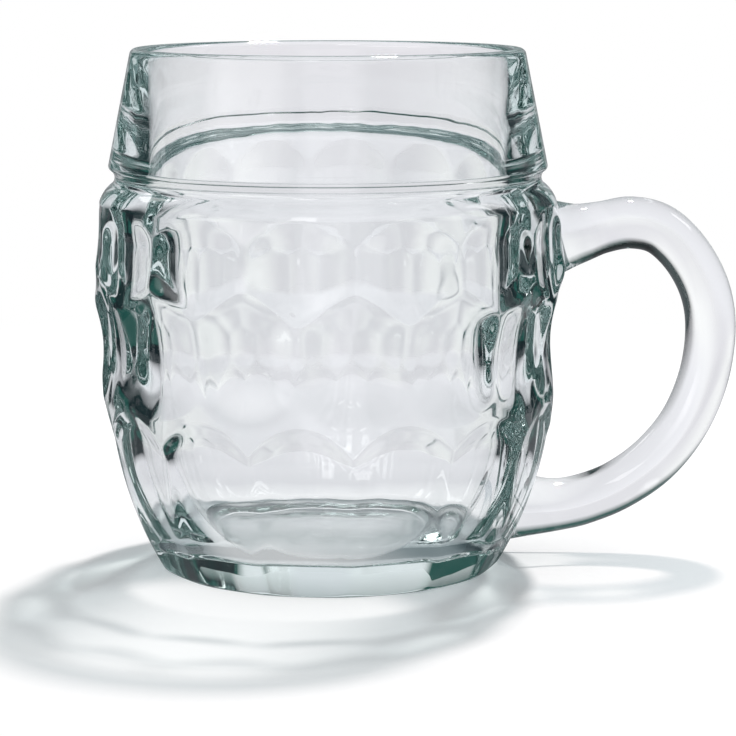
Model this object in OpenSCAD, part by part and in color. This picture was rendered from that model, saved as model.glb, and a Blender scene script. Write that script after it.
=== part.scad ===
// A pressed glass beer mug: a dimpled and fluted bowl, and a handle fused to its side.
// The origin is on the surface it stands on, under the middle of the bowl. The handle points along +X.

/* [Bowl] */
// Height of the mug
mug_h = 120; // [112:1:130]
// Outer radius at the fullest part of the belly
belly_r = 54.9; // [52:0.1:58]
// Thickness of the lip
lip_t = 3.1; // [2.6:0.1:3.6]
// How far the collar's lower edge stands out from the bottom of the groove
collar_step = 1.4; // [1.1:0.1:1.8]
// Height of the collar's lower edge above the table
collar_z = 92.2; // [90:0.1:95]
// Rounding of the collar's lower edge
collar_round = 1.1; // [0.5:0.1:2]
// How far the bottom of the groove under the collar lies inside the belly
groove_inset = 5.8; // [5:0.1:6.8]
// Rounding of the groove
groove_round = 2.1; // [1.5:0.1:2.6]
// Height of the fullest part of the belly
belly_z = 67; // [64:0.5:70]
// Radius of the long curve from the belly up to the shoulder
belly_arc_r = 75; // [65:1:95]
// Radius of the curve that draws the belly in below
belly_under_r = 22; // [18:1:30]
// Rounding of the shoulder
shoulder_round = 8; // [6:0.5:10]
// How far the waist below the belly lies inside the belly
waist_inset = 2.3; // [1.8:0.1:3]
// Height of the waist, where the lower wall starts to curve in
waist_z = 46; // [42:0.5:50]
// Radius of the long curve of the lower wall
lower_arc_r = 90; // [80:1:110]
// Rounding of the edge that the mug stands on
foot_round = 4; // [3:0.1:5]

/* [Inside] */
// Thickness of the glass between the belly and the lower end of the straight bore
belly_wall = 13.5; // [12.6:0.1:15]
// How much wider the mouth is than the lower end of the straight bore, in radius
bore_flare = 0.9; // [0.4:0.1:1.4]
// Height where the straight bore ends and the wall curves in
bore_low_z = 34; // [30:0.5:38]
// Radius of the curve between the bore and the floor
bore_curve_r = 36; // [30:0.5:40]
// Height of the inner floor
floor_z = 8.3; // [6:0.1:11]
// Rounding at the edge of the inner floor
floor_round = 6; // [3:0.5:10]
// Width of the flat ring that the mug stands on, around the shallow dish
foot_ring = 7.6; // [4:0.1:12]
// Depth of the dish under the foot
dish_depth = 1.2; // [0.4:0.1:2.5]

/* [Dimples and flutes] */
// Number of dimples in each ring, and of flutes
facet_count = 14; // [14]
// Height of the point where an upper dimple ends below
upper_point_z = 62; // [60:0.5:64]
// Depth of the upper dimples' line at that point
upper_point_depth = 0.4; // [0.2:0.1:0.8]
// Height of the upper dimples' flat top edge
upper_top_z = 85.6; // [83:0.1:86.5]
// Lean of the upper dimples' floor towards the bowl, in degrees
upper_lean = 10; // [8:0.5:11]
// Hollow of the upper dimples from side to side, as a radius
upper_hollow_r = 48; // [42:1:60]
// Rounding at the upper dimples' top edge
upper_top_round = 7; // [4:0.5:9]
// Height of the middle of the lower dimples
lower_mid_z = 52; // [50:0.5:54]
// Depth of the lower dimples
lower_depth = 2.2; // [1.5:0.1:2.8]
// Hollow of the lower dimples from side to side, as a radius
lower_hollow_r = 34; // [28:1:44]
// Hollow of the lower dimples up and down, as a radius
lower_hollow_rise_r = 20; // [16:0.5:24]
// Depth of the flutes near their top
flute_depth = 1.2; // [0.9:0.1:1.5]
// How much less far down the flutes' own curve stands, which makes them shallower at the foot
flute_sink = 0.6; // [0:0.1:1]
// Height of the flutes' top edge
flute_top_z = 42; // [38:0.5:44]
// Rounding at the flutes' top edge
flute_top_round = 4; // [2:0.5:6]

/* [Handle] */
// How far the outside of the handle reaches from the bowl's axis
handle_reach = 96.7; // [92:0.1:102]
// Thickness of the handle
handle_d = 12; // [10:0.1:14]
// Height of the middle of the handle's upright back
handle_mid_z = 54.5; // [52:0.5:58]
// Length of the upright back between the two turns
handle_back = 3; // [2:0.5:8]
// Height of the middle of the upper root, on the bowl's side
upper_root_z = 75.5; // [74:0.5:76.5]
// Radius of the upper root where it spreads over the glass
upper_root_r = 9.8; // [8:0.1:10]
// Rounding between the upper root and the rod
upper_root_round = 12; // [8:0.5:15]
// Height of the middle of the lower root, on the bowl's side
lower_root_z = 11; // [10:0.1:13]
// Radius of the lower root where it spreads over the glass
lower_root_r = 7.4; // [6.5:0.1:8]
// Rounding between the lower root and the rod
lower_root_round = 6; // [4:0.5:8]

/* [Hidden] */
$fn = 96;
glass_colour = [0.80, 0.90, 0.88];
// Overrun that lets each cut pass clear of the surface that it opens
overrun = 10;
pitch = 360 / facet_count;

// Every radius of the bowl follows the belly's
waist_r = belly_r - waist_inset;
groove_r = belly_r - groove_inset;
collar_r = groove_r + collar_step;
bore_low_r = belly_r - belly_wall;
mouth_r = bore_low_r + bore_flare;

// The lip is round, and as thick as the wall there
lip_round = lip_t / 2;
lip_r = mouth_r + lip_round;
lip_z = mug_h - lip_round;
// The collar's side is straight, and touches both the lip's rounding and that of its lower edge
collar_low_x = collar_r - collar_round;
collar_low_z = collar_z + collar_round;
collar_run = [lip_r - collar_low_x, lip_z - collar_low_z];
collar_tilt = atan2(collar_run[1], collar_run[0]) - acos((collar_round - lip_round) / norm(collar_run));

// The shoulder's rounding lies inside the belly's long curve and touches it, just under the groove
groove_z = collar_z - groove_round + collar_round / 2;
belly_arc_x = belly_r - belly_arc_r;
shoulder_z = groove_z - shoulder_round;
shoulder_x = belly_arc_x + sqrt(pow(belly_arc_r - shoulder_round, 2) - pow(shoulder_z - belly_z, 2));
belly_under_x = belly_r - belly_under_r;

// The foot's rounding lies inside the lower wall's curve and touches it
lower_arc_x = waist_r - lower_arc_r;
foot_run = sqrt(pow(lower_arc_r - foot_round, 2) - pow(waist_z - foot_round, 2));
foot_x = lower_arc_x + foot_run;
foot_touch_z = waist_z - (waist_z - foot_round) * lower_arc_r / (lower_arc_r - foot_round);

// The floor's rounding lies inside the bore's curve and touches it
bore_curve_x = bore_low_r - bore_curve_r;
floor_round_z = floor_z + floor_round;
floor_run = sqrt(pow(bore_curve_r - floor_round, 2) - pow(bore_low_z - floor_round_z, 2));
floor_round_x = bore_curve_x + floor_run;
floor_touch_z = bore_low_z - (bore_low_z - floor_round_z) * bore_curve_r / (bore_curve_r - floor_round);

// The dish is a cap of a large ball
dish_r = foot_x - foot_ring;
dish_ball_r = (pow(dish_r, 2) + pow(dish_depth, 2)) / (2 * dish_depth);

// Radius of the bowl's plain outer form, before its dimples, at a height between waist and shoulder
function belly_at(z) = z > belly_z
    ? belly_arc_x + sqrt(pow(belly_arc_r, 2) - pow(z - belly_z, 2))
    : max(waist_r, belly_under_x + sqrt(pow(belly_under_r, 2) - pow(belly_z - z, 2)));
// The same for the lower wall
function lower_at(z) = lower_arc_x + sqrt(pow(lower_arc_r, 2) - pow(waist_z - z, 2));

// Distance of a flute's face from the bowl's axis
flute_x = lower_arc_x - flute_depth;
function face_at(z) = flute_x + sqrt(pow(lower_arc_r, 2) - pow(waist_z - flute_sink - z, 2));
// Width of the tool that cuts a flute
flute_span = 3 * PI * waist_r / facet_count;

// The handle is a round rod with an upright back, and one arc from each end of the back to a root.
// Each arc's radius follows from the reach and from the height of its root.
rod_r = handle_d / 2;
outer_x = handle_reach - rod_r;
upper_turn_z = handle_mid_z + handle_back / 2;
lower_turn_z = handle_mid_z - handle_back / 2;
upper_root_x = belly_at(upper_root_z);
lower_root_x = lower_at(lower_root_z);
function turn_r(across, up) = (pow(across, 2) + pow(up, 2)) / (2 * across);
upper_turn_r = turn_r(outer_x - upper_root_x, upper_root_z - upper_turn_z);
lower_turn_r = turn_r(outer_x - lower_root_x, lower_turn_z - lower_root_z);
// Angles above the level at which the rod leaves its roots
upper_rise = asin((outer_x - upper_turn_r - upper_root_x) / upper_turn_r);
lower_rise = -asin((outer_x - lower_turn_r - lower_root_x) / lower_turn_r);
// How deep each root starts inside the bowl, before it is cut to the bowl's surface
root_margin = 0.5;
lower_lean = asin((waist_z - lower_root_z) / lower_arc_r);
upper_root_depth = upper_root_r * tan(upper_rise - upper_lean) + root_margin;
lower_root_depth = lower_root_r * tan(lower_rise + lower_lean) + root_margin;

// A square corner region from the axis out to a rounded upper edge
module round_topped(r, low, high, round_r) {
    translate([0, low]) square([r, high - round_r - low]);
    translate([0, low]) square([r - round_r, high - low]);
    translate([r - round_r, high - round_r]) circle(round_r);
}

module collar_section() {
    side = [cos(collar_tilt), sin(collar_tilt)];
    polygon([
        [0, groove_z],
        [groove_r, groove_z],
        [collar_low_x, collar_z],
        [collar_low_x, collar_low_z] + collar_round * side,
        [lip_r, lip_z] + lip_round * side,
        [lip_r, lip_z],
        [0, lip_z]
    ]);
    translate([collar_low_x, collar_low_z]) circle(collar_round);
}

module belly_section() {
    intersection() {
        translate([belly_arc_x, belly_z]) circle(belly_arc_r);
        translate([0, belly_z]) square([belly_r, shoulder_z - belly_z]);
    }
    intersection() {
        translate([shoulder_x, shoulder_z]) circle(shoulder_round);
        translate([0, belly_z]) square([belly_r, groove_z - belly_z]);
    }
    translate([0, shoulder_z]) square([shoulder_x, groove_z - shoulder_z]);
    intersection() {
        translate([belly_under_x, belly_z]) circle(belly_under_r);
        translate([0, waist_z]) square([belly_r, belly_z - waist_z]);
    }
    translate([0, waist_z]) square([waist_r, belly_z - waist_z]);
}

module lower_section() {
    intersection() {
        translate([lower_arc_x, waist_z]) circle(lower_arc_r);
        translate([0, foot_touch_z]) square([waist_r, waist_z - foot_touch_z]);
    }
    translate([foot_x, foot_round]) circle(foot_round);
    square([foot_x, foot_round]);
}

module bore_section() {
    polygon([[0, bore_low_z], [bore_low_r, bore_low_z], [mouth_r, lip_z], [mouth_r, mug_h], [0, mug_h]]);
    intersection() {
        translate([bore_curve_x, bore_low_z]) circle(bore_curve_r);
        translate([0, floor_touch_z]) square([bore_low_r, bore_low_z - floor_touch_z]);
    }
    translate([floor_round_x, floor_round_z]) circle(floor_round);
    translate([0, floor_z]) square([floor_round_x, floor_round]);
}

// The bowl as a solid of revolution, without its bore
module outer_form() {
    rotate_extrude() difference() {
        union() {
            collar_section();
            belly_section();
            lower_section();
        }
        translate([groove_r + groove_round, groove_z]) circle(groove_round);
    }
}

// An upper dimple is hollow from side to side, and its floor leans in towards a flat top edge
module upper_cut() {
    length = (upper_top_z - upper_point_z) / cos(upper_lean);
    translate([belly_at(upper_point_z) - upper_point_depth, 0, upper_point_z])
        rotate([0, -upper_lean, 0])
            translate([upper_hollow_r, 0, 0])
                rotate_extrude() round_topped(upper_hollow_r, -overrun, length, upper_top_round);
}

// A lower dimple is an oval hollow, curved both ways
module lower_cut() {
    translate([waist_r - lower_depth + lower_hollow_r, 0, lower_mid_z])
        rotate_extrude() intersection() {
            translate([lower_hollow_r - lower_hollow_rise_r, 0]) circle(lower_hollow_rise_r);
            translate([0, -lower_hollow_rise_r]) square(2 * lower_hollow_rise_r);
        }
}

// A flute is flat from side to side, and follows a curve of its own up the wall
module flute_cut() {
    low_top = flute_top_z - flute_top_round;
    top_x = face_at(low_top) + flute_top_round;
    far_x = top_x + overrun;
    rotate([90, 0, 0]) translate([0, 0, -flute_span / 2]) linear_extrude(flute_span) {
        difference() {
            translate([bore_low_r / 2, -overrun]) square([far_x - bore_low_r / 2, low_top + overrun]);
            translate([flute_x, waist_z - flute_sink]) circle(lower_arc_r);
        }
        translate([top_x, low_top]) square([overrun, flute_top_round]);
        intersection() {
            translate([top_x, low_top]) circle(flute_top_round);
            translate([top_x - flute_top_round, low_top]) square(flute_top_round);
        }
    }
}

// The dimpled outer form. The lower dimples stand half a pitch away from the upper ones and the flutes.
module facetted_form(places, lower_places) {
    difference() {
        outer_form();
        for (i = places) rotate(i * pitch) {
            upper_cut();
            flute_cut();
        }
        for (i = lower_places) rotate((i + 1 / 2) * pitch) lower_cut();
    }
}

module bowl() {
    color(glass_colour) union() {
        difference() {
            facetted_form([0 : facet_count - 1], [0 : facet_count - 1]);
            rotate_extrude() bore_section();
            translate([0, 0, dish_depth - dish_ball_r]) sphere(dish_ball_r);
        }
        rotate_extrude() translate([lip_r, lip_z]) circle(lip_round);
    }
}

// The spread of a root along +Z, which dies away just inside the rod
module root_spread(root_r, depth, round_r) {
    inside_r = rod_r - root_margin;
    rotate_extrude() difference() {
        translate([0, -depth]) square([root_r, depth + round_r]);
        translate([inside_r + round_r, round_r]) circle(round_r);
    }
}

// One arc of the handle: the part of a ring that lies above or below the level of its middle, and
// outside a cut square to the rod where its root starts
module turn(ring_r, level, above, root, rise, depth) {
    reach = 2 * handle_reach;
    intersection() {
        translate([outer_x - ring_r, 0, level]) rotate([90, 0, 0])
            rotate_extrude() translate([ring_r, 0]) circle(rod_r);
        translate([0, -handle_d, above ? level : level - reach]) cube([reach, 2 * handle_d, reach]);
        translate(root) rotate([0, 90 - rise, 0])
            translate([-reach / 2, -handle_d, -depth]) cube([reach, 2 * handle_d, reach]);
    }
}

module handle_rod() {
    upper_root = [upper_root_x, 0, upper_root_z];
    lower_root = [lower_root_x, 0, lower_root_z];
    turn(upper_turn_r, upper_turn_z, true, upper_root, upper_rise, upper_root_depth);
    translate(upper_root) rotate([0, 90 - upper_rise, 0])
        root_spread(upper_root_r, upper_root_depth, upper_root_round);
    translate([outer_x, 0, lower_turn_z]) cylinder(h = handle_back, r = rod_r);
    turn(lower_turn_r, lower_turn_z, false, lower_root, lower_rise, lower_root_depth);
    translate(lower_root) rotate([0, 90 - lower_rise, 0])
        root_spread(lower_root_r, lower_root_depth, lower_root_round);
}

// The roots stand on an upper dimple's floor and on a flute's face
module handle() {
    color(glass_colour) difference() {
        handle_rod();
        facetted_form([0], []);
    }
}

bowl();
handle();
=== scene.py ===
"""A clear glass beer mug with dimples, flutes and a fused handle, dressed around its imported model."""

import math

import bpy
import numpy as np
from mathutils import Euler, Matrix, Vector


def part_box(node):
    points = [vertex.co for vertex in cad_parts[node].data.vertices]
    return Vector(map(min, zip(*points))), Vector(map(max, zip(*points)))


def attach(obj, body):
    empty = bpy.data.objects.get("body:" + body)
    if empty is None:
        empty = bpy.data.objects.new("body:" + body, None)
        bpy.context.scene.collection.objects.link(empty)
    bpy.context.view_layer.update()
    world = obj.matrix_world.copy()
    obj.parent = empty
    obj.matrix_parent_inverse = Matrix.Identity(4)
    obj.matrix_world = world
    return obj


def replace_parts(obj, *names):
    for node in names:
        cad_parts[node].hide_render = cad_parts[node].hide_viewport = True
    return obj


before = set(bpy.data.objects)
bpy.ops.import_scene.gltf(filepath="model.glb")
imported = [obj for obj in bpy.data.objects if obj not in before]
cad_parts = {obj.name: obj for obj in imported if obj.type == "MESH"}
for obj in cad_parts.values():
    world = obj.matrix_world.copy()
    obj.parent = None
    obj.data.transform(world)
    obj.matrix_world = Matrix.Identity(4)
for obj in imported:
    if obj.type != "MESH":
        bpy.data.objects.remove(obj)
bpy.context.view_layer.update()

# Sizes of the mug are in millimetres, and a point goes to metres when its mesh is made
MM = 0.001
BOWL_HIGH = np.array(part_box("bowl")[1]) / MM
HEIGHT = BOWL_HIGH[2]
BELLY_R = BOWL_HIGH[1]

# Lip, collar and groove
RIM_R = 45.4
MOUTH_R = 42.3
COLLAR_R = 50.5
COLLAR_Z = 92.2
COLLAR_ROUND = 1.1
GROOVE_R = 49.1
GROOVE_ROUND = 2.1
# Angles in degrees where the groove's arc starts and ends, the collar's edge starts and the lip ends
GROOVE_LOW_ANGLE = 230
GROOVE_TOP_ANGLE = 140
EDGE_LOW_ANGLE = -80
LIP_END_ANGLE = 178

# Belly, waist and foot
BELLY_Z = 67
BELLY_ARC_R = 75
SHOULDER_ROUND = 8
WAIST_R = 52.6
WAIST_TOP_Z = 49
WAIST_Z = 46
LOWER_ARC_R = 90
FOOT_ROUND = 4

# Inside and dish
BORE_LOW_R = 41.4
BORE_LOW_Z = 34
BORE_CURVE_R = 36
FLOOR_Z = 8.3
FLOOR_ROUND = 6
DISH_R = 30
DISH_DEPTH = 1.2

# Dimples and flutes: a hollow is what an upright round rod of its radius would cut into the wall
FACETS = 14
PITCH = 2 * math.pi / FACETS
UPPER_MID_Z = 74
UPPER_DEPTH = 2.2
UPPER_LEAN = math.radians(5)
UPPER_HOLLOW_R = 48
UPPER_LOW_START_Z = 70
UPPER_LOW_ROUND = 18
UPPER_TOP_Z = 87
UPPER_TOP_ROUND = 9
LOWER_MID_Z = 53
LOWER_DEPTH = 2.2
LOWER_HOLLOW_R = 50
LOWER_HOLLOW_RISE_R = 26
LOWER_SHIFT_SHARE = 0.5
FLUTE_DEPTH = 1.4
FLUTE_TOP_Z = 43
FLUTE_TOP_ROUND = 8
# How far an end of a hollow or a flute draws back at the ridge between it and the next
UPPER_TOP_ARCH = 3.0
UPPER_LOW_ARCH = 5.0
FLUTE_TOP_ARCH = 5.0
# The difference in radius within which one face of the pattern runs softly into the next: between dimples, at
# the shoulder and between flutes
EDGE_SOFTNESS = 2.2
TOP_SOFTNESS = 3.0
FLUTE_SOFTNESS = 0.8
# The heights between which the dimples' softness grows to the shoulder's
TOP_SOFT_START = 77
TOP_SOFT_END = 84
# Where nothing is cut away
FAR = 1000.0
# An arc is followed up to this share of its radius
ARC_SHARE = 0.99

# Points on each stretch of the bowl's section, from the dish over the lip to the inner floor
DISH_POINTS = 24
RING_POINTS = 6
HEEL_POINTS = 16
FLUTE_POINTS = 60
LOWER_POINTS = 84
UPPER_POINTS = 36
SHOULDER_POINTS = 24
GROOVE_POINTS = 14
EDGE_POINTS = 12
COLLAR_POINTS = 30
LIP_POINTS = 30
BORE_POINTS = 64
CURVE_POINTS = 24
FLOOR_POINTS = 20
# Columns of the bowl's mesh in each pitch of the pattern, and sides of the handle
COLUMNS_PER_PITCH = 36
HANDLE_SIDES = 96


def soft_min(a, b, width):
    """The lesser of two lengths, with the corner between them rounded over that width."""
    blend = np.clip(width - np.abs(a - b), 0, None) / width
    return np.minimum(a, b) - blend * blend * width / 4


def arc(centre_r, centre_z, radius, start, end, count):
    """Points on an arc between two angles in degrees, both ends included."""
    angles = np.radians(np.linspace(start, end, count))
    return [(centre_r + radius * math.cos(a), centre_z + radius * math.sin(a)) for a in angles]


def line(start, end, count):
    """Points on a straight stretch, with neither end."""
    steps = np.linspace(0, 1, count + 2)[1:-1]
    return [(start[0] + (end[0] - start[0]) * t, start[1] + (end[1] - start[1]) * t) for t in steps]


# The plain outer wall, before its pattern

LOWER_ARC_X = WAIST_R - LOWER_ARC_R
FOOT_X = LOWER_ARC_X + math.sqrt((LOWER_ARC_R - FOOT_ROUND) ** 2 - (WAIST_Z - FOOT_ROUND) ** 2)
FOOT_TOUCH_Z = WAIST_Z - (WAIST_Z - FOOT_ROUND) * LOWER_ARC_R / (LOWER_ARC_R - FOOT_ROUND)
BELLY_ARC_X = BELLY_R - BELLY_ARC_R
GROOVE_Z = COLLAR_Z - GROOVE_ROUND + COLLAR_ROUND / 2
SHOULDER_Z = GROOVE_Z - SHOULDER_ROUND
SHOULDER_X = BELLY_ARC_X + math.sqrt(
    (BELLY_ARC_R - SHOULDER_ROUND) ** 2 - (SHOULDER_Z - BELLY_Z) ** 2)

# Belly and waist are joined by two equal arcs that bend opposite ways
SWAY_RISE = BELLY_Z - WAIST_TOP_Z
SWAY_DROP = BELLY_R - WAIST_R
SWAY_R = (SWAY_RISE ** 2 + SWAY_DROP ** 2) / (4 * SWAY_DROP)
SWAY_MID_Z = (BELLY_Z + WAIST_TOP_Z) / 2


def drop(away, radius):
    """How far an arc has left its tangent, at a distance from where it touches."""
    along = np.clip(np.abs(away), 0, ARC_SHARE * radius)
    return radius - np.sqrt(radius ** 2 - along ** 2)


def wall_at(z):
    """Radius of the plain wall between the foot's rounding and the shoulder's."""
    z = np.asarray(z, float)
    over_belly = BELLY_R - drop(z - BELLY_Z, BELLY_ARC_R)
    under_belly = BELLY_R - drop(z - BELLY_Z, SWAY_R)
    over_waist = WAIST_R + drop(np.clip(z - WAIST_TOP_Z, 0, None), SWAY_R)
    under_waist = WAIST_R - drop(z - WAIST_Z, LOWER_ARC_R)
    wall = np.where(z > BELLY_Z, over_belly, under_belly)
    wall = np.where(z < SWAY_MID_Z, over_waist, wall)
    return np.where(z < WAIST_Z, under_waist, wall)


# The pattern: each cut gives the radius that it leaves at an angle from its middle and a height

def hollow(centre, radius, angle):
    """Radius left by an upright round hollow whose own axis stands outside the bowl."""
    across = centre * np.sin(angle)
    inside = np.clip(radius ** 2 - across ** 2, 0, None)
    return np.where(np.abs(across) < radius, centre * np.cos(angle) - np.sqrt(inside), FAR)


def ledge(past, round_r):
    """How far a face has come out to meet the wall, at a distance into the rounding that ends it."""
    return drop(np.clip(past, 0, round_r), round_r)


def sideways(angle):
    """0 at the middle of a hollow or a flute, growing to 1 at the ridge beside it."""
    return np.clip(angle * 2 / PITCH, -1, 1) ** 2


def upper_dimple(angle, z):
    """A hollow that leans in towards the shoulder, with a rounded end at its foot and at its top."""
    side = sideways(angle)
    over = z + UPPER_TOP_ARCH * side - UPPER_TOP_Z
    under = UPPER_LOW_START_Z - z + UPPER_LOW_ARCH * side
    floor = float(wall_at(UPPER_MID_Z)) - UPPER_DEPTH - math.tan(UPPER_LEAN) * (z - UPPER_MID_Z)
    rise = ledge(over + UPPER_TOP_ROUND, UPPER_TOP_ROUND) + ledge(under, UPPER_LOW_ROUND)
    inside = (over < 0) & (under < UPPER_LOW_ROUND)
    return np.where(inside, hollow(floor + UPPER_HOLLOW_R, UPPER_HOLLOW_R - rise, angle), FAR)


def lower_dimple(angle, z):
    """An oval hollow, curved both ways."""
    rise = np.abs(z - LOWER_MID_Z)
    centre = float(wall_at(LOWER_MID_Z)) - LOWER_DEPTH + LOWER_HOLLOW_R
    radius = LOWER_HOLLOW_R - ledge(rise, LOWER_HOLLOW_RISE_R)
    return np.where(rise < LOWER_HOLLOW_RISE_R, hollow(centre + 0 * z, radius, angle), FAR)


def flute(angle, z):
    """A face that is flat from side to side and runs out at the foot, under a rounded, arched ledge."""
    over = z + FLUTE_TOP_ARCH * sideways(angle) - FLUTE_TOP_Z
    face = wall_at(z) - FLUTE_DEPTH + ledge(over + FLUTE_TOP_ROUND, FLUTE_TOP_ROUND)
    return np.where(over < 0, face / np.cos(angle), FAR)


def from_middle(angle, shift):
    """Angle from the middle of the nearest place of the pattern, shifted by a share of a pitch."""
    turned = angle - shift * PITCH
    return turned - PITCH * np.round(turned / PITCH)


def patterned(radius, angle, z):
    """The plain radius with every cut of the pattern taken out of it."""
    inside = z < GROOVE_Z
    near_top = np.clip((z - TOP_SOFT_START) / (TOP_SOFT_END - TOP_SOFT_START), 0, 1)
    softness = EDGE_SOFTNESS + (TOP_SOFTNESS - EDGE_SOFTNESS) * near_top
    rings = (
        (upper_dimple, 0, softness),
        (flute, 0, FLUTE_SOFTNESS),
        (lower_dimple, LOWER_SHIFT_SHARE, softness))
    left = radius
    for cut, shift, soft in rings:
        near = from_middle(angle, shift)
        # The neighbour's cut rounds the ridge that it shares with this one
        beside = near - PITCH * np.where(near < 0, -1, 1)
        both = soft_min(cut(near, z), cut(beside, z), soft)
        left = np.where(inside, soft_min(left, both, soft), left)
    return left


def outer_surface(angle, z):
    """Radius of the finished wall below the shoulder's rounding."""
    return patterned(wall_at(z), angle, np.asarray(z, float))


# The bowl's section from the middle of the dish, out, up and over the lip, and down to the inner floor

LIP_ROUND = (RIM_R - MOUTH_R) / 2
LIP_R = MOUTH_R + LIP_ROUND
LIP_Z = HEIGHT - LIP_ROUND


def outer_points():
    """The outside from the middle of the dish up to the groove."""
    ball_r = (DISH_R ** 2 + DISH_DEPTH ** 2) / (2 * DISH_DEPTH)
    dish_edge = math.degrees(math.asin(DISH_R / ball_r))
    first = dish_edge / DISH_POINTS
    points = arc(0, DISH_DEPTH - ball_r, ball_r, 90 - first, 90 - dish_edge, DISH_POINTS)
    points += line((DISH_R, 0), (FOOT_X, 0), RING_POINTS)
    foot_end = math.degrees(math.asin((FOOT_TOUCH_Z - FOOT_ROUND) / FOOT_ROUND))
    points += arc(FOOT_X, FOOT_ROUND, FOOT_ROUND, -90, foot_end, HEEL_POINTS)
    flutes_end = FLUTE_TOP_Z - FLUTE_TOP_ROUND
    wall_z = np.concatenate([
        np.linspace(FOOT_TOUCH_Z, flutes_end, FLUTE_POINTS)[1:],
        np.linspace(flutes_end, UPPER_LOW_START_Z, LOWER_POINTS)[1:],
        np.linspace(UPPER_LOW_START_Z, SHOULDER_Z, UPPER_POINTS)[1:]])
    points += list(zip(wall_at(wall_z), wall_z))
    touch = math.degrees(math.atan2(SHOULDER_Z - BELLY_Z, SHOULDER_X - BELLY_ARC_X))
    groove_x = GROOVE_R + GROOVE_ROUND
    meet = math.degrees(math.acos((groove_x - SHOULDER_X) / (SHOULDER_ROUND + GROOVE_ROUND)))
    points += arc(SHOULDER_X, SHOULDER_Z, SHOULDER_ROUND, touch, meet, SHOULDER_POINTS)[1:]
    return points


def groove_points():
    """The groove, the collar's lower edge, the collar and the lip."""
    low_x = COLLAR_R - COLLAR_ROUND
    low_z = COLLAR_Z + COLLAR_ROUND
    run = math.hypot(LIP_R - low_x, LIP_Z - low_z)
    lean = math.atan2(LIP_Z - low_z, LIP_R - low_x)
    tilt = math.degrees(lean - math.acos((COLLAR_ROUND - LIP_ROUND) / run))
    groove_x = GROOVE_R + GROOVE_ROUND
    groove = arc(groove_x, GROOVE_Z, GROOVE_ROUND, GROOVE_LOW_ANGLE, GROOVE_TOP_ANGLE, GROOVE_POINTS)
    edge = arc(low_x, low_z, COLLAR_ROUND, EDGE_LOW_ANGLE, tilt, EDGE_POINTS)
    lip = arc(LIP_R, LIP_Z, LIP_ROUND, tilt, LIP_END_ANGLE, LIP_POINTS)
    return groove + edge + line(edge[-1], lip[0], COLLAR_POINTS) + lip


def inner_points():
    """The bore from under the lip down to the middle of the floor."""
    round_z = FLOOR_Z + FLOOR_ROUND
    curve_x = BORE_LOW_R - BORE_CURVE_R
    reach = BORE_CURVE_R - FLOOR_ROUND
    round_x = curve_x + math.sqrt(reach ** 2 - (BORE_LOW_Z - round_z) ** 2)
    touch = -math.degrees(math.asin((BORE_LOW_Z - round_z) / reach))
    points = line((MOUTH_R, LIP_Z), (BORE_LOW_R, BORE_LOW_Z), BORE_POINTS)
    points += arc(curve_x, BORE_LOW_Z, BORE_CURVE_R, 0, touch, CURVE_POINTS)
    points += arc(round_x, round_z, FLOOR_ROUND, touch, -90, FLOOR_POINTS)[1:]
    points += line((round_x, FLOOR_Z), (0, FLOOR_Z), FLOOR_POINTS)
    return points


def bowl_mesh():
    """The whole bowl as one closed skin."""
    outside = outer_points()
    section = np.array(outside + groove_points() + inner_points())
    columns = FACETS * COLUMNS_PER_PITCH
    angle = np.arange(columns) * 2 * math.pi / columns
    radius, z = (np.repeat(section[:, i:i + 1], columns, axis=1) for i in (0, 1))
    count = len(outside)
    angles = np.repeat(angle[None, :], count, axis=0)
    radius[:count] = patterned(radius[:count], angles, z[:count])
    rings = np.stack([radius * np.cos(angle), radius * np.sin(angle), z], axis=2)
    return closed_skin(rings, (0, 0, DISH_DEPTH), (0, 0, FLOOR_Z))


def closed_skin(rings, first, last):
    """Points and faces of a skin through rings of points, closed by a point at each end."""
    count, sides = rings.shape[:2]
    points = np.concatenate([rings.reshape(-1, 3), [first, last]])
    here = np.arange(sides)
    beside = (here + 1) % sides
    low = (np.arange(count - 1) * sides)[:, None]
    high = low + sides
    quads = np.stack([low + here, low + beside, high + beside, high + here], axis=2).reshape(-1, 4)
    end = (count - 1) * sides
    caps = [(count * sides, b, a) for a, b in zip(here, beside)]
    caps += [(count * sides + 1, end + a, end + b) for a, b in zip(here, beside)]
    return points, quads.tolist() + [tuple(int(i) for i in cap) for cap in caps]


def add_piece(name, points, faces, material):
    """A mesh object from points in millimetres, smooth all over, that rides with the mug."""
    mesh = bpy.data.meshes.new(name)
    mesh.from_pydata((np.asarray(points) * MM).tolist(), [], faces)
    mesh.update()
    mesh.shade_smooth()
    mesh.materials.append(material)
    piece = bpy.data.objects.new(name, mesh)
    bpy.context.scene.collection.objects.link(piece)
    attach(piece, "root")
    return piece


# The handle: stations along its middle as distance out, height and half thickness

HANDLE_STATIONS = (
    (53.2, 75.4, 8.9), (58.6, 76.5, 7.1), (64.5, 77.9, 6.1), (71.5, 78.9, 6.1), (78.6, 77.0, 6.0),
    (85.0, 70.8, 5.9), (89.4, 62.4, 5.9), (90.8, 53.0, 5.9), (89.3, 41.8, 5.9), (84.8, 31.0, 5.9),
    (77.6, 22.2, 6.0), (68.8, 16.2, 5.9), (60.2, 13.0, 6.0), (53.6, 11.9, 6.3), (46.4, 11.5, 7.6))
# Rings between two stations
RINGS_PER_STATION = 12
# Width of the rod across, as a share of its thickness
WIDTH_SHARE = 1.04
# Length over which an end of the handle takes the shape of the wall that it meets
ROOT_LENGTH = 9.0
# How far each end reaches into the wall, so that no air is left between the two
ROOT_SINK = 0.12
# How far to look for the wall along the handle's end, and how many times that stretch is halved
ROOT_SEARCH = 14.0
SEARCH_STEPS = 40
CAP_RINGS = 16


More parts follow.
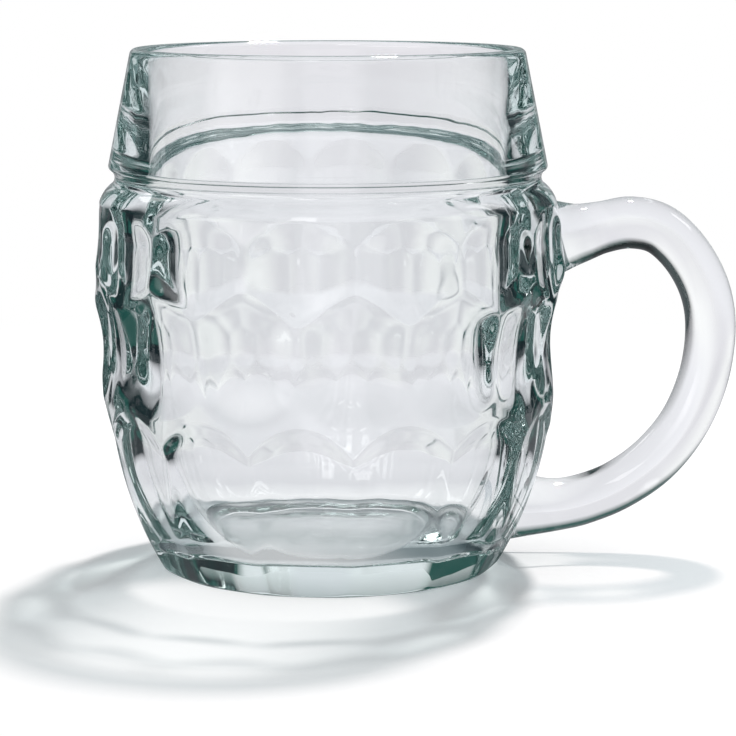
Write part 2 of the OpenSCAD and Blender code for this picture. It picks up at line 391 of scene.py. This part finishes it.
def smooth_path(stations, steps):
    """A smooth curve through the stations, with a number of steps between each two."""
    points = np.array(stations, float)
    ahead = np.vstack([2 * points[0] - points[1], points, 2 * points[-1] - points[-2]])
    t = np.arange(steps)[:, None] / steps
    spans = []
    for i in range(len(points) - 1):
        a, b, c, d = ahead[i:i + 4]
        spans.append(0.5 * (2 * b + (c - a) * t + (2 * a - 5 * b + 4 * c - d) * t ** 2
                            + (3 * b - a - 3 * c + d) * t ** 3))
    return np.vstack(spans + [points[-1:]])


def to_wall(points, direction):
    """How far each point has to go along the direction to lie just inside the bowl's outer wall."""
    low = np.full(len(points), -ROOT_SEARCH)
    high = np.full(len(points), ROOT_SEARCH)
    for _ in range(SEARCH_STEPS):
        middle = (low + high) / 2
        at = points + middle[:, None] * direction
        radius = np.hypot(at[:, 0], at[:, 1])
        wall = outer_surface(np.arctan2(at[:, 1], at[:, 0]), at[:, 2])
        outside = radius > wall - ROOT_SINK
        high = np.where(outside, high, middle)
        low = np.where(outside, middle, low)
    return (low + high) / 2


def handle_mesh():
    """The handle as a closed rod whose two ends have the shape of the wall that they meet."""
    path = smooth_path(HANDLE_STATIONS, RINGS_PER_STATION)
    middles = np.stack([path[:, 0], np.zeros(len(path)), path[:, 1]], axis=1)
    ahead = np.gradient(middles, axis=0)
    ahead /= np.linalg.norm(ahead, axis=1)[:, None]
    travelled = np.concatenate([[0], np.cumsum(np.linalg.norm(np.diff(middles, axis=0), axis=1))])
    turn = -np.arange(HANDLE_SIDES) * 2 * math.pi / HANDLE_SIDES
    across = np.array([0, 1, 0])
    # Each end of the path, with the way along it that leads into the wall
    ends = ((0, -ahead[0]), (len(path) - 1, ahead[-1]))

    def ring(i, share=1.0):
        """The rod's outline at a point of its path, or a smaller one of the same form."""
        up = np.cross(ahead[i], across)
        half = path[i, 2] * share
        return middles[i] + half * (np.cos(turn)[:, None] * up + WIDTH_SHARE * np.sin(turn)[:, None] * across)

    rings = [ring(i) for i in range(len(path))]
    for end, direction in ends:
        shift = to_wall(rings[end], direction)
        away = np.abs(travelled - travelled[end])
        for i in np.nonzero(away < ROOT_LENGTH)[0]:
            fade = 1 - away[i] / ROOT_LENGTH
            rings[i] = rings[i] + (shift * fade * fade * (3 - 2 * fade))[:, None] * direction
    caps = []
    for end, direction in ends:
        flat = [ring(end, share) for share in np.arange(1, CAP_RINGS) / CAP_RINGS]
        cap = [part + to_wall(part, direction)[:, None] * direction for part in flat]
        tip = middles[end][None, :]
        caps.append((cap, (tip + to_wall(tip, direction)[:, None] * direction)[0]))
    (first_cap, first_tip), (last_cap, last_tip) = caps
    return closed_skin(np.array(first_cap + rings + last_cap[::-1]), first_tip, last_tip)


# Materials and light, with distances in metres

WHITE = (1.0, 1.0, 1.0)

# Glass: clear, with the faint teal of its thick places
GLASS_IOR = 1.51
TINT = (0.42, 0.83, 0.78)
TINT_DENSITY = 3.2
# Slow swells that fire polishing leaves
SWELL_SCALE = 70.0
SWELL_DETAIL = 2.0
SWELL_STRENGTH = 0.25
SWELL_HEIGHT = 0.0004
# The faint haze of handling and washing: where its noise starts and is full, and how rough it is there
HAZE_SCALE = 35.0
HAZE_DETAIL = 4.0
HAZE_START = 0.45
HAZE_FULL = 0.8
HAZE_ROUGHNESS = 0.03
# The setting that measures a surface's turn from a ray evenly, from 0 square on to 1 edge on
FACING_BLEND = 0.5
# What the glass lets through to the floor where it is square to the light and where it is edge on
SHADOW_CLEAR = (0.995, 0.998, 0.998)
SHADOW_EDGE = (0.40, 0.46, 0.48)
SHADOW_START = 0.46
SHADOW_FULL = 0.66
# Where the handle starts and the bowl has ended, and what the rod lets through except along its middle
ROD_START = 0.055
ROD_FULL = 0.062
ROD_SHADOW = (0.74, 0.78, 0.80)
ROD_SHADOW_START = 0.02
ROD_SHADOW_FULL = 0.20
# A painted dark reflection along the handle's inner edge, in the glass's base colour, standing in for a dark
# part
# of the room that the rod would show: the point that the edge faces, how squarely it faces it, and how edge
# on it is seen
INNER_FOCUS = (0.060, 0.0, 0.022)
INNER_START = 0.30
INNER_FULL = 0.62
INNER_EDGE_START = 0.20
INNER_EDGE_FULL = 0.34
INNER_PAINTED_REFLECTION = (0.004, 0.007, 0.007)


def node(tree, kind, inputs=None, **settings):
    """A shader node with its inputs and settings. An input that is a socket is linked."""
    made = tree.nodes.new(kind)
    for key, value in settings.items():
        setattr(made, key, value)
    for key, value in (inputs or {}).items():
        if isinstance(value, bpy.types.NodeSocket):
            tree.links.new(value, made.inputs[key])
        else:
            made.inputs[key].default_value = value
    return made


def math_node(tree, operation, *values):
    """The result of a sum on one to three values or sockets."""
    return node(tree, "ShaderNodeMath", dict(enumerate(values)), operation=operation).outputs[0]


def vector_node(tree, operation, *values):
    """The outputs of a sum on one or two vectors or sockets."""
    return node(tree, "ShaderNodeVectorMath", dict(enumerate(values)), operation=operation).outputs


def ramp(tree, value, start, full, top=1.0, **settings):
    """0 up to where a value starts, growing to the top where it is full, and no further."""
    inputs = {"Value": value, "From Min": start, "From Max": full, "To Max": top}
    return node(tree, "ShaderNodeMapRange", inputs, **settings).outputs[0]


def noise(tree, place, scale, detail):
    """Soft noise at a place."""
    return node(tree, "ShaderNodeTexNoise", {"Vector": place, "Scale": scale, "Detail": detail}).outputs[0]


def mix_colour(tree, factor, first, second):
    """A blend from the first colour to the second."""
    made = node(tree, "ShaderNodeMix", data_type="RGBA")
    for key, value in (("Factor_Float", factor), ("A_Color", first), ("B_Color", second)):
        socket = next(s for s in made.inputs if s.identifier == key)
        if isinstance(value, bpy.types.NodeSocket):
            tree.links.new(value, socket)
        else:
            socket.default_value = value if key == "Factor_Float" else (*value, 1)
    return next(s for s in made.outputs if s.identifier == "Result_Color")


def empty_material(name):
    """A new material and its node tree, with nothing in it."""
    material = bpy.data.materials.new(name)
    material.use_nodes = True
    material.node_tree.nodes.clear()
    return material, material.node_tree


def painted_inner_reflection(tree, place, facing, on_rod):
    """1 where a dark reflection is painted along the handle's inner edge, and 0 elsewhere."""
    towards = vector_node(tree, "SUBTRACT", INNER_FOCUS, place)["Vector"]
    towards = vector_node(tree, "NORMALIZE", towards)["Vector"]
    normal = node(tree, "ShaderNodeTexCoord").outputs["Normal"]
    inwards = vector_node(tree, "DOT_PRODUCT", towards, normal)["Value"]
    inner = math_node(tree, "MULTIPLY", ramp(tree, inwards, INNER_START, INNER_FULL),
                      ramp(tree, facing, INNER_EDGE_START, INNER_EDGE_FULL))
    return math_node(tree, "MULTIPLY", inner, on_rod)


def glass_material():
    """The glass of both pieces, with a painted dark reflection along the handle's inner edge. Its shadow is
    clear where light goes straight on, and grey where it bends.
    """
    material, tree = empty_material("mug_glass")
    place = node(tree, "ShaderNodeTexCoord").outputs["Object"]
    swell = noise(tree, place, SWELL_SCALE, SWELL_DETAIL)
    bump = node(tree, "ShaderNodeBump", {
        "Height": swell, "Strength": SWELL_STRENGTH, "Distance": SWELL_HEIGHT})
    haze = ramp(tree, noise(tree, place, HAZE_SCALE, HAZE_DETAIL), HAZE_START, HAZE_FULL, HAZE_ROUGHNESS)
    facing = node(tree, "ShaderNodeLayerWeight", {"Blend": FACING_BLEND}).outputs["Facing"]
    out = node(tree, "ShaderNodeSeparateXYZ", {0: place}).outputs["X"]
    on_rod = ramp(tree, out, ROD_START, ROD_FULL)
    # Painted dark reflection: the base colour turns nearly black along the handle's inner edge
    colour = mix_colour(tree, painted_inner_reflection(tree, place, facing, on_rod), WHITE, INNER_PAINTED_REFLECTION)
    clear = node(tree, "ShaderNodeBsdfPrincipled", {
        "Base Color": colour, "Roughness": haze, "IOR": GLASS_IOR, "Transmission Weight": 1.0,
        "Normal": bump.outputs["Normal"]})
    edge = ramp(tree, facing, SHADOW_START, SHADOW_FULL)
    rod = math_node(tree, "MULTIPLY", on_rod, ramp(tree, facing, ROD_SHADOW_START, ROD_SHADOW_FULL))
    shadow = mix_colour(tree, rod, mix_colour(tree, edge, SHADOW_CLEAR, SHADOW_EDGE), ROD_SHADOW)
    shade = node(tree, "ShaderNodeBsdfTransparent", {"Color": shadow})
    path = node(tree, "ShaderNodeLightPath")
    surface = node(tree, "ShaderNodeMixShader", {
        0: path.outputs["Is Shadow Ray"], 1: clear.outputs[0], 2: shade.outputs[0]})
    depth = node(tree, "ShaderNodeVolumeAbsorption", {"Color": (*TINT, 1), "Density": TINT_DENSITY})
    node(tree, "ShaderNodeOutputMaterial", {"Surface": surface.outputs[0], "Volume": depth.outputs[0]})
    return material


# Camera, as the photograph was taken: distances in millimetres, angles in degrees

CAMERA_DISTANCE = 633.6
CAMERA_HEIGHT = 145.7
CAMERA_AZIMUTH = -5.9
CAMERA_PITCH = 8.97
CAMERA_YAW = 0.83
CAMERA_LENS = 134.5
SENSOR = 36.0


def add_camera():
    """The camera, a little above the mug and turned a little from square to the handle."""
    turned = math.radians(CAMERA_AZIMUTH)
    data = bpy.data.cameras.new("camera")
    data.lens = CAMERA_LENS
    data.sensor_width = SENSOR
    camera = bpy.data.objects.new("camera", data)
    camera.location = (CAMERA_DISTANCE * math.sin(turned) * MM, -CAMERA_DISTANCE * math.cos(turned) * MM,
                       CAMERA_HEIGHT * MM)
    camera.rotation_euler = Euler((math.radians(90 - CAMERA_PITCH), 0, turned - math.radians(CAMERA_YAW)))
    bpy.context.scene.collection.objects.link(camera)
    bpy.context.scene.camera = camera


# Floor, world and lamp

FLOOR_SIZE = 3.0
FLOOR_WHITE = (0.97, 0.97, 0.975)
# What the glass shows of the white paper and the white room, which is a little lavender
FLOOR_SEEN = (0.73, 0.725, 0.76)
SEEN_WHITE = (0.82, 0.81, 0.85)
# The room's brighter places, their number and the middle of one
BRIGHT_WHITE = (1.02, 1.02, 1.03)
BRIGHT_COUNT = 6
BRIGHT_TURN = math.radians(114)
# Painted light: the paper right under the mug is lighter in what the glass shows, standing in for light that
# the glass bends onto it; and the distances over which it runs into the rest
FLOOR_UNDER_PAINTED_LIGHT = (0.97, 0.965, 0.99)
UNDER_LIGHT_FULL = 0.050
UNDER_LIGHT_END = 0.080
# Distances from the mug at which the paper starts and ends running into the white of the room
FADE_START = 0.22
FADE_END = 0.42
# The dark room, nearly black or a deep teal, in patches from a noise
ROOM_BLACK = (0.012, 0.020, 0.024)
ROOM_TEAL = (0.018, 0.085, 0.073)
PATCH_SCALE = 3.0
PATCH_DETAIL = 0.0
PATCH_START = 0.38
PATCH_FULL = 0.50
# How dark the room and the floor are in what the outside of the glass mirrors
OUTER_DARK_SHARE = 0.7
# The light that the room throws on the paper
SOFT_LIGHT = (0.54, 0.54, 0.54)
# Heights of a direction, as the sine of its angle above the level, between which the room's white fades
BACKDROP_TOP = 0.30
BACKDROP_END = 0.55
# The dark sides of the room: their number, the middle of one, and the cosines where one starts and is full
DARK_COUNT = 2
DARK_TURN = math.radians(174)
DARK_START = -0.90
DARK_FULL = -0.70
# Distances from the mug at which the paper's own sides start to be dark and are so in full
DARK_PAPER_START = 0.14
DARK_PAPER_FULL = 0.22
# Small windows round the room, high up, that mirrorings catch
WINDOW_COUNT = 3
WINDOW_TURN = math.radians(250)
WINDOW_START = 0.90
WINDOW_FULL = 0.94
WINDOW_Z = 0.62
WINDOW_HALF = 0.12
WINDOW_CORE_SHARE = 0.8
WINDOW_LIGHT = (3.0, 3.0, 3.0)
# A broad soft light at the front left, which only the outside of the glass mirrors
STRIP_TURN = math.radians(-141)
STRIP_START = math.cos(math.radians(28))
STRIP_FULL = math.cos(math.radians(16))
STRIP_LOW_Z = 0.0
STRIP_TOP_Z = 0.20
STRIP_END_Z = 0.60
STRIP_LIGHT = (3.0, 3.0, 3.0)
# The way that the lamp's light goes in the picture: across, away from the camera, and up
LAMP_TRAVEL = (-0.185, -0.515, -1.0)
LAMP_DISTANCE = 1.6
LAMP_SIZE = 0.13
LAMP_POWER = 17.5
# A count of bounces that is over this limit is one or more
HALF_BOUNCE = 0.5


def at_least_one(tree, bounces):
    """1 where a count of bounces is one or more, and 0 otherwise."""
    return math_node(tree, "GREATER_THAN", bounces, HALF_BOUNCE)


def ray_kinds(tree):
    """What a ray has met, each 1 or 0: the paper, any mirroring, and one on the outside of the glass."""
    path = node(tree, "ShaderNodeLightPath")
    scattered = at_least_one(tree, path.outputs["Diffuse Depth"])
    mirrored = at_least_one(tree, path.outputs["Glossy Depth"])
    inside = at_least_one(tree, path.outputs["Transmission Depth"])
    outer = math_node(tree, "MULTIPLY", mirrored, math_node(tree, "SUBTRACT", 1.0, inside))
    return scattered, mirrored, outer


def angle_round(tree, split):
    """The angle round the mug of a place or a direction that has been split."""
    return math_node(tree, "ARCTAN2", split.outputs["Y"], split.outputs["X"])


def bars(tree, around, count, turn, start, full):
    """Upright bars round the room: their number, the middle of one, and the cosines of its edge and core."""
    wave = math_node(tree, "COSINE", math_node(tree, "MULTIPLY_ADD", around, count, -count * turn))
    return ramp(tree, wave, start, full)


def dark_sides(tree, around, mirrored):
    """How dark a direction round the room is in what the glass mirrors."""
    return math_node(tree, "MULTIPLY", mirrored, bars(
        tree, around, DARK_COUNT, DARK_TURN, DARK_START, DARK_FULL))


def seen_white(tree, around):
    """The white of the room as the glass shows it, a little brighter in some directions."""
    bright = bars(tree, around, BRIGHT_COUNT, BRIGHT_TURN, -1.0, 1.0)
    return mix_colour(tree, bright, SEEN_WHITE, BRIGHT_WHITE)


def floor_material():
    """White paper, which runs into the white of the room, and what the glass shows of both, with painted
    light under the mug.
    """
    material, tree = empty_material("floor_paper")
    is_seen = node(tree, "ShaderNodeLightPath").outputs["Is Camera Ray"]
    mirrored, outer = ray_kinds(tree)[1:]
    place = node(tree, "ShaderNodeTexCoord").outputs["Object"]
    away = vector_node(tree, "LENGTH", place)["Value"]
    around = angle_round(tree, node(tree, "ShaderNodeSeparateXYZ", {0: place}))
    far = ramp(tree, away, DARK_PAPER_START, DARK_PAPER_FULL)
    side = math_node(tree, "MULTIPLY", far, dark_sides(tree, around, mirrored))
    dark = math_node(tree, "MAXIMUM", side, math_node(tree, "MULTIPLY", outer, OUTER_DARK_SHARE))
    # Painted light under the mug, in what the glass shows of the paper
    under = ramp(tree, away, UNDER_LIGHT_END, UNDER_LIGHT_FULL)
    white = mix_colour(tree, is_seen, mix_colour(tree, under, FLOOR_SEEN, FLOOR_UNDER_PAINTED_LIGHT), FLOOR_WHITE)
    paper = node(tree, "ShaderNodeBsdfDiffuse", {"Color": mix_colour(tree, dark, white, ROOM_BLACK)})
    room = mix_colour(tree, is_seen, seen_white(tree, around), WHITE)
    glow = node(tree, "ShaderNodeEmission", {"Color": mix_colour(tree, dark, room, ROOM_BLACK)})
    fade = ramp(tree, away, FADE_START, FADE_END, interpolation_type="SMOOTHSTEP")
    surface = node(tree, "ShaderNodeMixShader", {0: fade, 1: paper.outputs[0], 2: glow.outputs[0]})
    node(tree, "ShaderNodeOutputMaterial", {"Surface": surface.outputs[0]})
    return material


def add_floor():
    """The floor, a square with the mug in its middle."""
    half = FLOOR_SIZE / 2
    corners = [(-half, -half, 0), (half, -half, 0), (half, half, 0), (-half, half, 0)]
    mesh = bpy.data.meshes.new("floor")
    mesh.from_pydata(corners, [], [(0, 1, 2, 3)])
    mesh.materials.append(floor_material())
    floor = bpy.data.objects.new("floor", mesh)
    bpy.context.scene.collection.objects.link(floor)


def windows(tree, around, height):
    """1 in the small windows, and 0 elsewhere."""
    beside = math_node(tree, "ABSOLUTE", math_node(tree, "SUBTRACT", height, WINDOW_Z))
    level = ramp(tree, beside, WINDOW_HALF, WINDOW_HALF * WINDOW_CORE_SHARE)
    return math_node(tree, "MULTIPLY", level, bars(
        tree, around, WINDOW_COUNT, WINDOW_TURN, WINDOW_START, WINDOW_FULL))


def soft_strip(tree, around, height):
    """How much of the broad light at the front left a direction meets."""
    low = ramp(tree, height, STRIP_END_Z, STRIP_TOP_Z)
    rising = ramp(tree, height, STRIP_LOW_Z, STRIP_TOP_Z)
    column = bars(tree, around, 1, STRIP_TURN, STRIP_START, STRIP_FULL)
    return math_node(tree, "MULTIPLY", math_node(tree, "MULTIPLY", low, column), rising)


def add_world():
    """White behind everything that is seen, and a dark room overhead and in what the glass mirrors."""
    world = bpy.data.worlds.new("room")
    bpy.context.scene.world = world
    world.use_nodes = True
    world.cycles.sampling_method = "NONE"
    tree = world.node_tree
    tree.nodes.clear()
    scattered, mirrored, outer = ray_kinds(tree)
    direction = node(tree, "ShaderNodeTexCoord").outputs["Generated"]
    split = node(tree, "ShaderNodeSeparateXYZ", {0: direction})
    around = angle_round(tree, split)
    height = split.outputs["Z"]
    patches = noise(tree, direction, PATCH_SCALE, PATCH_DETAIL)
    dark = mix_colour(tree, ramp(tree, patches, PATCH_START, PATCH_FULL), ROOM_BLACK, ROOM_TEAL)
    sides = math_node(tree, "MAXIMUM", dark_sides(tree, around, mirrored), math_node(
        tree, "MULTIPLY", outer, OUTER_DARK_SHARE))
    shade = math_node(tree, "MAXIMUM", ramp(tree, height, BACKDROP_TOP, BACKDROP_END), sides)
    room = mix_colour(tree, shade, seen_white(tree, around), dark)
    window = math_node(tree, "MULTIPLY", windows(tree, around, height), mirrored)
    strip = math_node(tree, "MULTIPLY", soft_strip(tree, around, height), outer)
    lit = mix_colour(tree, strip, mix_colour(tree, window, room, WINDOW_LIGHT), STRIP_LIGHT)
    unseen = mix_colour(tree, scattered, lit, SOFT_LIGHT)
    is_seen = node(tree, "ShaderNodeLightPath").outputs["Is Camera Ray"]
    background = node(tree, "ShaderNodeBackground", {"Color": mix_colour(tree, is_seen, unseen, WHITE)})
    node(tree, "ShaderNodeOutputWorld", {"Surface": background.outputs[0]})


def add_lamp():
    """The key lamp, high behind the mug. The paper gets its straight light, and none that the glass bends."""
    data = bpy.data.lights.new("key", "AREA")
    data.shape = "DISK"
    data.size = LAMP_SIZE
    data.energy = LAMP_POWER
    data.use_nodes = True
    tree = data.node_tree
    tree.nodes.clear()
    straight = math_node(tree, "SUBTRACT", 1.0, ray_kinds(tree)[0])
    glow = node(tree, "ShaderNodeEmission", {"Strength": straight})
    node(tree, "ShaderNodeOutputLight", {"Surface": glow.outputs[0]})
    lamp = bpy.data.objects.new("key", data)
    turned = math.radians(CAMERA_AZIMUTH)
    across, deep, up = LAMP_TRAVEL
    travel = np.array([across * math.cos(turned) - deep * math.sin(turned),
                       across * math.sin(turned) + deep * math.cos(turned), up])
    heading = -travel / np.linalg.norm(travel)
    lamp.location = heading * LAMP_DISTANCE
    lamp.rotation_euler = Euler((math.acos(heading[2]), 0, math.atan2(heading[0], -heading[1])))
    bpy.context.scene.collection.objects.link(lamp)


# How many times a ray is followed, and how many of those may be mirrorings
BOUNCES = 32
MIRROR_BOUNCES = 16

glass = glass_material()
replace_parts(add_piece("mug_bowl", *bowl_mesh(), glass), "bowl")
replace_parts(add_piece("mug_handle", *handle_mesh(), glass), "handle")
add_camera()
add_floor()
add_world()
add_lamp()

scene = bpy.context.scene
scene.view_settings.view_transform = "Standard"
scene.cycles.max_bounces = BOUNCES
scene.cycles.transmission_bounces = BOUNCES
scene.cycles.glossy_bounces = MIRROR_BOUNCES
scene.cycles.transparent_max_bounces = BOUNCES
